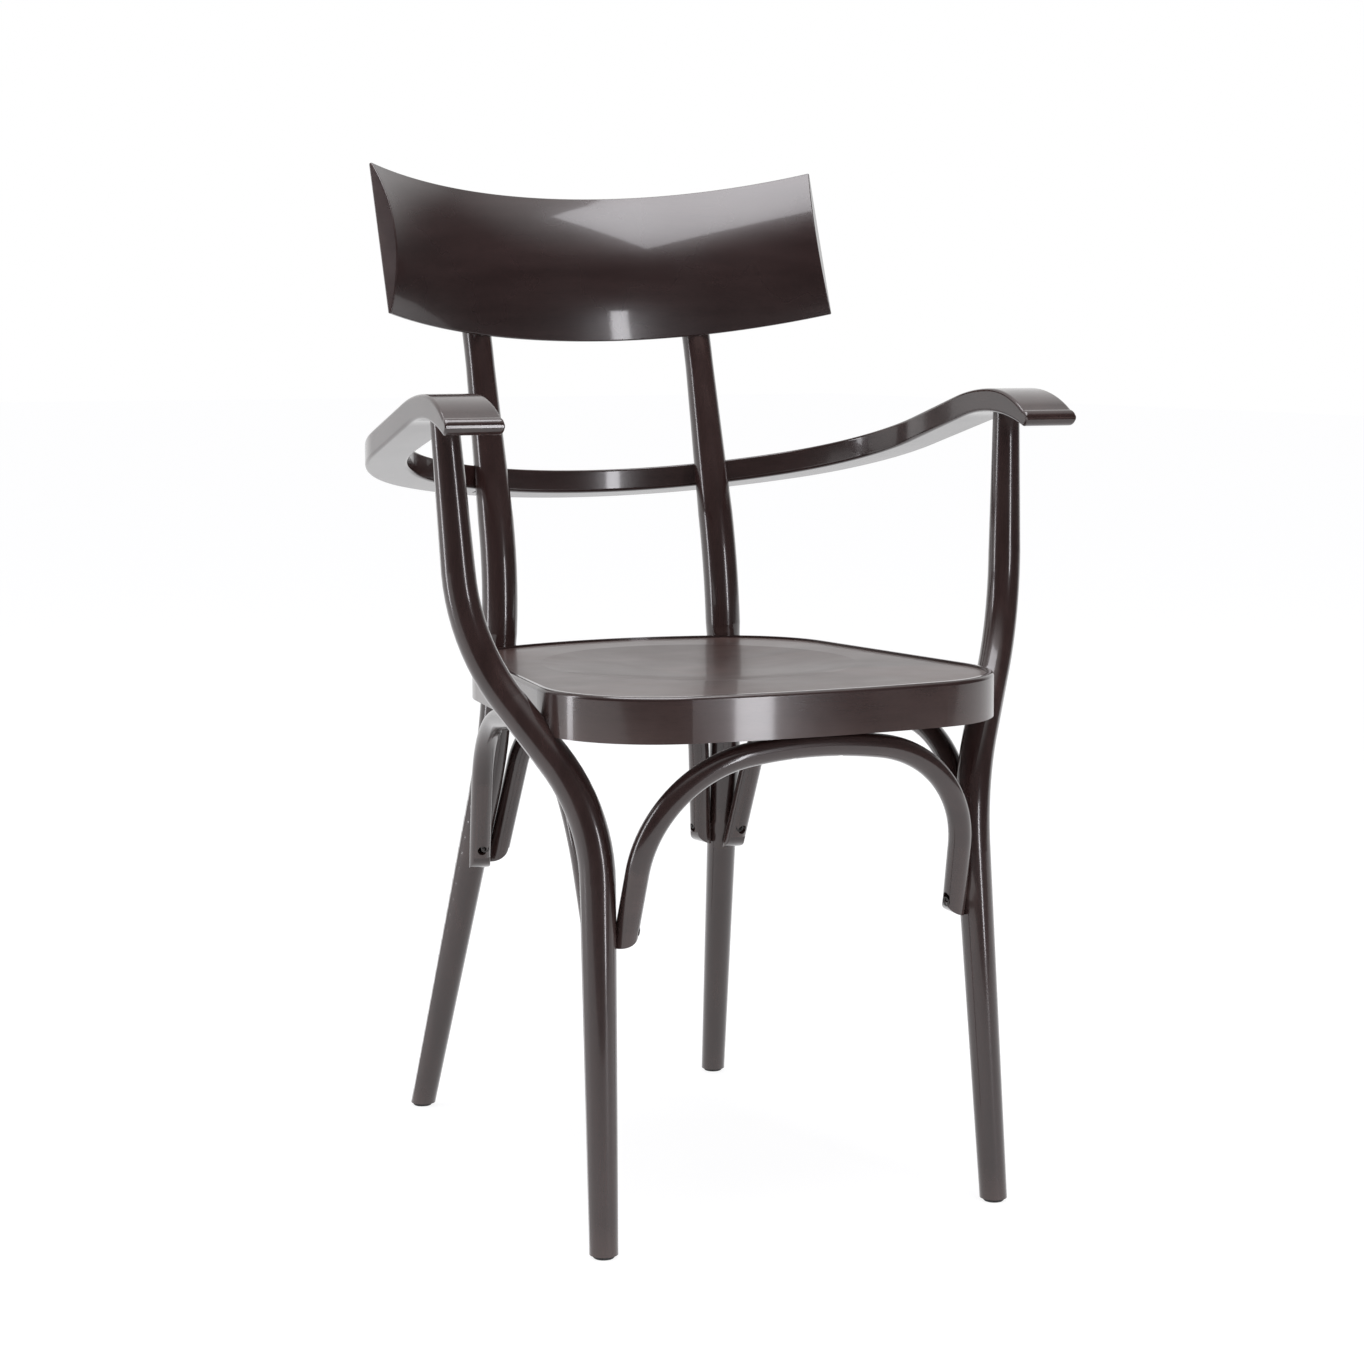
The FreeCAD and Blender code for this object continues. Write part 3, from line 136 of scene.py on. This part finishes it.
class Shader:
    """A node tree in the making, with short ways to add and join its nodes."""

    def __init__(self, name):
        self.material = bpy.data.materials.new(name)
        self.material.use_nodes = True
        self.tree = self.material.node_tree
        self.surface = self.tree.nodes["Principled BSDF"]

    def add(self, kind, **settings):
        node = self.tree.nodes.new(kind)
        for key, value in settings.items():
            setattr(node, key, value)
        return node

    def join(self, source, target):
        self.tree.links.new(source, target)

    def noise(self, place, scale, detail, roughness=0.5):
        node = self.add("ShaderNodeTexNoise")
        node.inputs["Scale"].default_value = scale
        node.inputs["Detail"].default_value = detail
        node.inputs["Roughness"].default_value = roughness
        self.join(place, node.inputs["Vector"])
        return node.outputs["Fac"]

    def ramp(self, value, stops):
        node = self.add("ShaderNodeValToRGB")
        elements = node.color_ramp.elements
        while len(elements) < len(stops):
            elements.new(0.5)
        for element, (place, colour) in zip(elements, stops):
            element.position = place
            element.color = colour
        self.join(value, node.inputs["Fac"])
        return node.outputs["Color"]

    def blend(self, factor, first, second, mode="MIX"):
        node = self.add("ShaderNodeMix", data_type="RGBA", blend_type=mode)
        for value, socket in ((factor, node.inputs[0]), (first, node.inputs[6]),
                              (second, node.inputs[7])):
            if isinstance(value, bpy.types.NodeSocket):
                self.join(value, socket)
            else:
                socket.default_value = value
        return node.outputs[2]

    def spread(self, value, low, high, out_low, out_high):
        node = self.add("ShaderNodeMapRange")
        for name, number in (("From Min", low), ("From Max", high),
                             ("To Min", out_low), ("To Max", out_high)):
            node.inputs[name].default_value = number
        self.join(value, node.inputs["Value"])
        return node.outputs["Result"]

    def bump(self, height, distance, strength=1.0, below=None):
        node = self.add("ShaderNodeBump")
        node.inputs["Distance"].default_value = distance
        node.inputs["Strength"].default_value = strength
        self.join(height, node.inputs["Height"])
        if below is not None:
            self.join(below, node.inputs["Normal"])
        return node.outputs["Normal"]


def grain_place(shader, run):
    """Coordinates for wood grain. A straight piece has its grain along one axis; a
    piece bent round the chair has it along the bend, measured round the Z axis."""
    place = shader.add("ShaderNodeTexCoord").outputs["Object"]
    if run == "round":
        parts = shader.add("ShaderNodeSeparateXYZ")
        shader.join(place, parts.inputs[0])
        turn = shader.add("ShaderNodeMath", operation="ARCTAN2")
        shader.join(parts.outputs["Y"], turn.inputs[0])
        shader.join(parts.outputs["X"], turn.inputs[1])
        level = shader.add("ShaderNodeCombineXYZ")
        shader.join(parts.outputs["X"], level.inputs["X"])
        shader.join(parts.outputs["Y"], level.inputs["Y"])
        reach = shader.add("ShaderNodeVectorMath", operation="LENGTH")
        shader.join(level.outputs[0], reach.inputs[0])
        bent = shader.add("ShaderNodeCombineXYZ")
        shader.join(reach.outputs["Value"], bent.inputs["X"])
        shader.join(parts.outputs["Z"], bent.inputs["Y"])
        scaled = shader.add("ShaderNodeMath", operation="MULTIPLY")
        shader.join(turn.outputs[0], scaled.inputs[0])
        scaled.inputs[1].default_value = BEND_REACH
        shader.join(scaled.outputs[0], bent.inputs["Z"])
        place = bent.outputs[0]
        run = "Z"
    stretch = shader.add("ShaderNodeMapping")
    shader.join(place, stretch.inputs["Vector"])
    stretch.inputs["Scale"].default_value = [GRAIN_STRETCH if axis == run else 1.0
                                             for axis in "XYZ"]
    return stretch.outputs["Vector"]


def lacquered_wood(name, run, dark=STAIN_DARK, light=STAIN_LIGHT, roughness=(0.19, 0.26),
                   shine=0.5, coat=0.6):
    """Dark stained beech under a glossy lacquer: soft long grain, fine pores, a slightly
    uneven film, and edges where the stain has rubbed thin."""
    shader = Shader(name)
    place = grain_place(shader, run)
    figure = shader.noise(place, FIGURE_SCALE, 4, 0.6)
    pores = shader.noise(place, PORE_SCALE, 3, 0.65)
    film = shader.noise(shader.add("ShaderNodeTexCoord").outputs["Object"], FILM_SCALE, 3)
    colour = shader.ramp(figure, [(0.30, dark), (0.72, light)])
    pore_mask = shader.ramp(pores, [(0.30, PORE_COLOUR), (0.48, WHITE)])
    colour = shader.blend(PORE_SHARE, colour, pore_mask, mode="MULTIPLY")
    edge = shader.ramp(shader.add("ShaderNodeNewGeometry").outputs["Pointiness"],
                       [(WORN_EDGE[0], BLACK), (WORN_EDGE[1], WHITE)])
    rubbed = shader.blend(film, BLACK, edge)
    colour = shader.blend(rubbed, colour, STAIN_WORN)
    shader.join(colour, shader.surface.inputs["Base Color"])
    gloss = shader.spread(film, 0.3, 0.7, roughness[0], roughness[1])
    shader.join(gloss, shader.surface.inputs["Roughness"])
    shader.surface.inputs["IOR"].default_value = LACQUER_IOR
    shader.surface.inputs["Specular IOR Level"].default_value = shine
    shader.surface.inputs["Coat Weight"].default_value = coat
    shader.surface.inputs["Coat Roughness"].default_value = COAT_ROUGHNESS
    waves = shader.bump(film, FILM_WAVE, 0.25)
    normal = shader.bump(pores, PORE_DENT, 0.35, below=waves)
    shader.join(normal, shader.surface.inputs["Normal"])
    return shader.material


def blackened_steel():
    """Blackened screws: an uneven oxide, greyer and duller in patches, with a fine bump."""
    shader = Shader("blackened_steel")
    place = shader.add("ShaderNodeTexCoord").outputs["Object"]
    oxide = shader.noise(place, 900, 4)
    shader.join(shader.ramp(oxide, [(0.35, STEEL_BLACK), (0.75, STEEL_GREY)]),
                shader.surface.inputs["Base Color"])
    shader.surface.inputs["Metallic"].default_value = 1.0
    shader.join(shader.spread(oxide, 0.3, 0.7, 0.34, 0.55), shader.surface.inputs["Roughness"])
    shader.join(shader.bump(oxide, 0.00003, 0.4), shader.surface.inputs["Normal"])
    return shader.material


def moulded_nylon():
    """Black nylon glides with a matt moulded skin, scuffed grey where they rub."""
    shader = Shader("moulded_nylon")
    place = shader.add("ShaderNodeTexCoord").outputs["Object"]
    skin = shader.noise(place, 1500, 3)
    scuffs = shader.noise(place, 160, 5, 0.7)
    shader.join(shader.ramp(scuffs, [(0.45, NYLON_BLACK), (0.75, NYLON_GREY)]),
                shader.surface.inputs["Base Color"])
    shader.join(shader.spread(scuffs, 0.3, 0.7, 0.45, 0.62), shader.surface.inputs["Roughness"])
    shader.join(shader.bump(skin, 0.00004, 0.5), shader.surface.inputs["Normal"])
    return shader.material


def paint(item, material):
    """Give every face of an object one material."""
    item.data.materials.clear()
    item.data.materials.append(material)


# Arm rail with rounded edges

def rail_height(y, base, crest, rear_radius, front_radius):
    """Height of the rail's top or underside: even slope, then a crest over the legs."""
    fall = rear_radius * (1 - math.cos(ARM_SLOPE)) / math.cos(ARM_SLOPE)
    top = base - crest * math.tan(ARM_SLOPE) - fall
    away = y - crest
    if away > rear_radius * math.sin(ARM_SLOPE):
        return base - y * math.tan(ARM_SLOPE)
    radius = rear_radius if away > 0 else front_radius
    return top - radius + math.sqrt(radius ** 2 - away ** 2)


def rail_top(y):
    return rail_height(y, ARM_HEIGHT + ARM_THICKNESS / math.cos(ARM_SLOPE), ARM_CREST_Y,
                       ARM_TOP_RADIUS, ARM_NOSE_RADIUS)


def rail_underside(y):
    return rail_height(y, ARM_HEIGHT, ARM_PALM_Y, ARM_UNDER_RADIUS, ARM_PALM_RADIUS)


def plan_edge(half_width, taper, corner, bow, back):
    """One edge of the rail seen from above, from the tip to the middle of the back, as
    a function of the distance along it, with its length and the end of its straight."""
    lean = math.radians(taper)
    side = Vector((math.cos(lean), math.sin(lean)))
    run = Vector((-math.sin(lean), math.cos(lean)))
    tip = Vector((half_width, ARM_TIP_Y))
    bow_centre = Vector((0, back - bow))
    gap = tip - side * corner - bow_centre
    near = gap.dot(run)
    straight = math.sqrt(near ** 2 - gap.dot(gap) + (bow - corner) ** 2) - near
    centre = tip - side * corner + run * straight
    turn = math.atan2(centre.y - bow_centre.y, centre.x)
    bend = corner * (turn - lean)

    def at(distance):
        if distance < straight:
            return tip + run * distance
        if distance < straight + bend:
            angle = lean + (distance - straight) / corner
            return centre + Vector((math.cos(angle), math.sin(angle))) * corner
        angle = turn + (distance - straight - bend) / bow
        return bow_centre + Vector((math.cos(angle), math.sin(angle))) * bow

    return at, straight + bend + bow * (math.pi / 2 - turn), tip.y + run.y * straight


def rounded_section(corners, radius):
    """A closed section whose corners are rounded, as points in order."""
    points = []
    for number, corner in enumerate(corners):
        before = corners[number - 1] - corner
        after = corners[(number + 1) % len(corners)] - corner
        reach = min(radius, 0.45 * before.length, 0.45 * after.length)
        first = corner + before.normalized() * reach
        last = corner + after.normalized() * reach
        for step in range(ARM_EDGE_STEPS + 1):
            share = step / ARM_EDGE_STEPS
            points.append(first * (1 - share) ** 2 + corner * 2 * share * (1 - share)
                          + last * share ** 2)
    return points


def rail_stations():
    """Pairs of inner and outer points with their heights, from the tip of the left arm
    to the middle of the back."""
    inner_at, inner_length, inner_end = plan_edge(**ARM_INNER)
    outer_at, outer_length, outer_end = plan_edge(**ARM_OUTER)
    join = min(inner_end, outer_end)
    nose = (rail_top(ARM_TIP_Y) - rail_underside(ARM_TIP_Y)) / 2
    middle = (rail_top(ARM_TIP_Y) + rail_underside(ARM_TIP_Y)) / 2
    outer_lean = math.radians(ARM_OUTER["taper"])
    stations = []
    for step in range(1, ARM_NOSE_STATIONS):
        angle = math.pi / 2 * step / ARM_NOSE_STATIONS
        y = ARM_TIP_Y - nose * math.cos(angle)
        half = nose * math.sin(angle)
        gone = max(0.0, ARM_EDGE_RADIUS - nose * angle)
        pull = ARM_EDGE_RADIUS - math.sqrt(ARM_EDGE_RADIUS ** 2 - gone ** 2)
        inner = Vector((ARM_INNER["half_width"] + pull, y))
        outer = Vector((ARM_OUTER["half_width"] - pull - (y - ARM_TIP_Y) * math.tan(outer_lean), y))
        stations.append((inner, outer, [middle + half] * 2, [middle - half] * 2))
    for step in range(ARM_STRAIGHT_STATIONS):
        y = ARM_TIP_Y + (join - ARM_TIP_Y) * step / ARM_STRAIGHT_STATIONS
        inner = inner_at(y - ARM_TIP_Y)
        outer = outer_at((y - ARM_TIP_Y) / math.cos(outer_lean))
        stations.append((inner, outer, [rail_top(y)] * 2, [rail_underside(y)] * 2))
    inner_done = join - ARM_TIP_Y
    outer_done = inner_done / math.cos(outer_lean)
    for step in range(ARM_BENT_STATIONS + 1):
        share = step / ARM_BENT_STATIONS
        inner = inner_at(inner_done + (inner_length - inner_done) * share)
        outer = outer_at(outer_done + (outer_length - outer_done) * share)
        stations.append((inner, outer, [rail_top(inner.y), rail_top(outer.y)],
                         [rail_underside(inner.y), rail_underside(outer.y)]))
    return stations


def arm_rail():
    """The rail as one smooth band with rounded edges, both arms and the back."""
    sections = []
    for inner, outer, tops, lows in rail_stations():
        corners = [Vector((inner.x, inner.y, tops[0])), Vector((outer.x, outer.y, tops[1])),
                   Vector((outer.x, outer.y, lows[1])), Vector((inner.x, inner.y, lows[0]))]
        sections.append(rounded_section(corners, ARM_EDGE_RADIUS))
    flip = Matrix.Scale(-1, 4, Vector((1, 0, 0)))
    sections += [[flip @ point for point in section] for section in sections[-2::-1]]
    shape = bmesh.new()
    rings = [[shape.verts.new(point) for point in section] for section in sections]
    count = len(rings[0])
    for here, there in zip(rings, rings[1:]):
        for number in range(count):
            after = (number + 1) % count
            shape.faces.new((here[number], here[after], there[after], there[number]))
    shape.faces.new(rings[0])
    shape.faces.new(rings[-1][::-1])
    return finished("arm_rail_rounded", shape, keep_flat=True)


def finished(name, shape, keep_flat=False):
    """Turn a bmesh into a smooth-shaded piece in the scene."""
    bmesh.ops.recalc_face_normals(shape, faces=shape.faces)
    mesh = bpy.data.meshes.new(name)
    shape.to_mesh(mesh)
    shape.free()
    mesh.shade_smooth()
    piece = bpy.data.objects.new(name, mesh)
    bpy.context.scene.collection.objects.link(piece)
    if keep_flat:
        weighted = piece.modifiers.new("flat_faces", "WEIGHTED_NORMAL")
        weighted.keep_sharp = True
        weighted.weight = 100
    return piece


# Screws

def loose_pieces(item):
    """The corner points of each separate solid of a CAD node."""
    shape = bmesh.new()
    shape.from_mesh(item.data)
    bmesh.ops.remove_doubles(shape, verts=shape.verts, dist=1e-7)
    left = set(shape.verts)
    pieces = []
    while left:
        reached = [left.pop()]
        found = []
        while reached:
            corner = reached.pop()
            found.append(corner.co.copy())
            for edge in corner.link_edges:
                other = edge.other_vert(corner)
                if other in left:
                    left.remove(other)
                    reached.append(other)
        pieces.append(found)
    shape.free()
    return pieces


def screw_place(corners):
    """Where a screw's head is and which way the screw points, from its CAD solid."""
    far = max(((a - b).length, i, j) for i, a in enumerate(corners)
              for j, b in enumerate(corners) if i < j)
    one, other = corners[far[1]], corners[far[2]]
    axis = (other - one).normalized()
    spans = [(corner - one).dot(axis) for corner in corners]
    middle = sum(corners, Vector()) / len(corners)

    def width(low, high):
        near = [corner for corner, span in zip(corners, spans) if low <= span <= high]
        return max((a - b).length for a in near for b in near)

    length = max(spans)
    if width(0, 0.1 * length) < width(0.9 * length, length):
        axis = axis * -1
    spans = [(corner - middle).dot(axis) for corner in corners]
    head = [corner for corner, span in zip(corners, spans) if span < min(spans) + END_BAND]
    tail = [corner for corner, span in zip(corners, spans) if span > max(spans) - END_BAND]
    start = sum(head, Vector()) / len(head)
    end = sum(tail, Vector()) / len(tail)
    return start, (end - start).normalized(), (end - start).length


def recess(x, y):
    """How far the cross is pressed into the head at a spot of its face."""
    along, beside = max(abs(x), abs(y)), min(abs(x), abs(y))
    inside = min(RECESS_HALF_LENGTH - along, RECESS_HALF_WIDTH - beside)
    return RECESS_DEPTH * min(1.0, max(0.0, 0.5 + inside / RECESS_WALL))


def screw(shape, start, aim, length):
    """Add one countersunk screw with a cross recess, its face at start."""
    turn = aim.to_track_quat("Z", "Y").to_matrix()
    profile = [(HEAD_RADIUS * ring / HEAD_RINGS, 0.0) for ring in range(1, HEAD_RINGS + 1)]
    profile += [(SHANK_RADIUS, HEAD_DEPTH), (SHANK_RADIUS, length - TIP_LENGTH),
                (TIP_SHARE * SHANK_RADIUS, length)]
    rings = []
    for radius, depth in profile:
        ring = []
        for number in range(HEAD_SEGMENTS):
            angle = math.tau * number / HEAD_SEGMENTS
            x, y = radius * math.cos(angle), radius * math.sin(angle)
            sunk = recess(x, y) if depth == 0.0 else depth
            ring.append(shape.verts.new(start + turn @ Vector((x, y, sunk))))
        rings.append(ring)
    middle = shape.verts.new(start + turn @ Vector((0, 0, RECESS_DEPTH)))
    for number in range(HEAD_SEGMENTS):
        after = (number + 1) % HEAD_SEGMENTS
        shape.faces.new((middle, rings[0][number], rings[0][after]))
        for here, there in zip(rings, rings[1:]):
            shape.faces.new((here[number], here[after], there[after], there[number]))
    shape.faces.new(rings[-1][::-1])


def screw_set(name):
    """The screws of one CAD node, each where its solid is."""
    shape = bmesh.new()
    for corners in loose_pieces(nodes[name]):
        screw(shape, *screw_place(corners))
    piece = finished(name + "_recessed", shape)
    piece.data.set_sharp_from_angle(angle=SCREW_CREASE)
    return piece


# Floor, light and camera

def floor_material():
    """White floor: it shows white to the camera and in gloss, and takes a faint shadow."""
    shader = Shader("studio_floor")
    tree = shader.tree
    shader.surface.inputs["Base Color"].default_value = FLOOR_COLOUR
    shader.surface.inputs["Roughness"].default_value = FLOOR_ROUGHNESS
    shader.surface.inputs["Specular IOR Level"].default_value = 0.0
    glow = shader.add("ShaderNodeEmission")
    glow.inputs["Strength"].default_value = FLOOR_GLOW
    mix = shader.add("ShaderNodeMixShader")
    share = seen_directly(tree, FLOOR_SHARE)
    shader.join(share, mix.inputs[0])
    shader.join(shader.surface.outputs[0], mix.inputs[1])
    shader.join(glow.outputs[0], mix.inputs[2])
    shader.join(mix.outputs[0], tree.nodes["Material Output"].inputs["Surface"])
    return shader.material


def seen_directly(tree, share):
    """A share for camera, glossy and transmitted rays, and 0 for the rest."""
    path = tree.nodes.new("ShaderNodeLightPath")
    total = None
    for ray in ("Is Camera Ray", "Is Glossy Ray", "Is Transmission Ray"):
        if total is None:
            total = path.outputs[ray]
            continue
        add = tree.nodes.new("ShaderNodeMath")
        add.operation = "MAXIMUM"
        tree.links.new(total, add.inputs[0])
        tree.links.new(path.outputs[ray], add.inputs[1])
        total = add.outputs[0]
    scale = tree.nodes.new("ShaderNodeMath")
    scale.operation = "MULTIPLY"
    scale.inputs[1].default_value = share
    tree.links.new(total, scale.inputs[0])
    return scale.outputs[0]


def studio():
    """Pale floor, surroundings and soft boxes."""
    bpy.ops.mesh.primitive_plane_add(size=FLOOR_SIZE,
                                     location=(0, FLOOR_FRONT + FLOOR_SIZE / 2, 0))
    floor = bpy.context.object
    floor.name = "studio_floor"
    paint(floor, floor_material())

    world = bpy.data.worlds.new("studio")
    bpy.context.scene.world = world
    world.use_nodes = True
    tree = world.node_tree
    sky = tree.nodes["Background"]
    sky.inputs["Color"].default_value = SKY_COLOUR
    sky.inputs["Strength"].default_value = SKY_STRENGTH
    white = tree.nodes.new("ShaderNodeBackground")
    tree.links.new(surroundings(tree), white.inputs["Color"])
    white.inputs["Strength"].default_value = 1.0
    mix = tree.nodes.new("ShaderNodeMixShader")
    tree.links.new(seen_directly(tree, 1.0), mix.inputs[0])
    tree.links.new(sky.outputs[0], mix.inputs[1])
    tree.links.new(white.outputs[0], mix.inputs[2])
    tree.links.new(mix.outputs[0], tree.nodes["World Output"].inputs["Surface"])

    for box in SOFT_BOXES:
        soft_box(*box)


def surroundings(tree):
    """White to the camera. Gloss meets white behind and above the chair, and a dim room
    in front of it."""
    way = tree.nodes.new("ShaderNodeSeparateXYZ")
    tree.links.new(tree.nodes.new("ShaderNodeTexCoord").outputs["Generated"], way.inputs[0])
    shares = []
    for axis, dim, bright in ROOM_EDGES:
        share = tree.nodes.new("ShaderNodeMapRange")
        share.interpolation_type = "SMOOTHSTEP"
        share.inputs["From Min"].default_value = dim
        share.inputs["From Max"].default_value = bright
        share.inputs["To Min"].default_value = ROOM_DIM
        tree.links.new(way.outputs[axis], share.inputs["Value"])
        shares.append(share.outputs["Result"])
    path = tree.nodes.new("ShaderNodeLightPath")
    shares += [path.outputs["Is Camera Ray"], path.outputs["Is Transmission Ray"]]
    brightest = shares[0]
    for share in shares[1:]:
        either = tree.nodes.new("ShaderNodeMath")
        either.operation = "MAXIMUM"
        tree.links.new(brightest, either.inputs[0])
        tree.links.new(share, either.inputs[1])
        brightest = either.outputs[0]
    return brightest


def soft_box(name, place, size, power):
    """A rectangular soft light that looks at the middle of the chair."""
    light = bpy.data.lights.new(name, "AREA")
    light.shape = "RECTANGLE"
    light.size, light.size_y = size
    light.energy = power
    light.color = LIGHT_COLOUR
    lamp = bpy.data.objects.new(name, light)
    bpy.context.scene.collection.objects.link(lamp)
    lamp.location = place
    aim = LIGHT_AIM - Vector(place)
    lamp.rotation_euler = aim.to_track_quat("-Z", "Y").to_euler()


def camera():
    """The photograph's view."""
    lens = bpy.data.cameras.new("photo_view")
    lens.lens = CAMERA_LENS
    lens.sensor_width = 36
    lens.clip_end = 100
    view = bpy.data.objects.new("photo_view", lens)
    bpy.context.scene.collection.objects.link(view)
    view.location = CAMERA_PLACE
    view.rotation_euler = (math.pi / 2 - CAMERA_PITCH, 0, CAMERA_HEADING)
    bpy.context.scene.camera = view


# The dressed chair

UPRIGHT = ["left_front_leg", "right_front_leg", "left_back_post", "right_back_post",
           "left_brace", "right_brace"]
upright_wood = lacquered_wood("beech_upright", "Z")
crosswise_wood = lacquered_wood("beech_crosswise", "X")
bent_wood = lacquered_wood("beech_bent", "round")
panel_ply = lacquered_wood("seat_ply", "X", SEAT_DARK, SEAT_LIGHT, (0.34, 0.42),
                          shine=0.3, coat=0.15)
back_ply = lacquered_wood("back_ply", "round", BACK_DARK, BACK_LIGHT, (0.24, 0.31))
steel = blackened_steel()
nylon = moulded_nylon()

for name, item in nodes.items():
    if name in UPRIGHT:
        paint(item, upright_wood)
    elif name in ("front_brace", "back_brace"):
        paint(item, crosswise_wood)
    elif name == "seat_panel":
        paint(item, panel_ply)
    elif name == "backrest_panel":
        paint(item, back_ply)
    elif name.endswith("screws"):
        paint(item, steel)
    elif name.endswith("glide"):
        paint(item, nylon)
    else:
        paint(item, bent_wood)

rail = arm_rail()
paint(rail, bent_wood)
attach(rail, "root")
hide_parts("arm_rail")

for name in nodes:
    if name.endswith("screws"):
        screws = screw_set(name)
        paint(screws, steel)
        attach(screws, "root")
        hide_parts(name)

studio()
camera()

bpy.context.scene.view_settings.view_transform = "Standard"
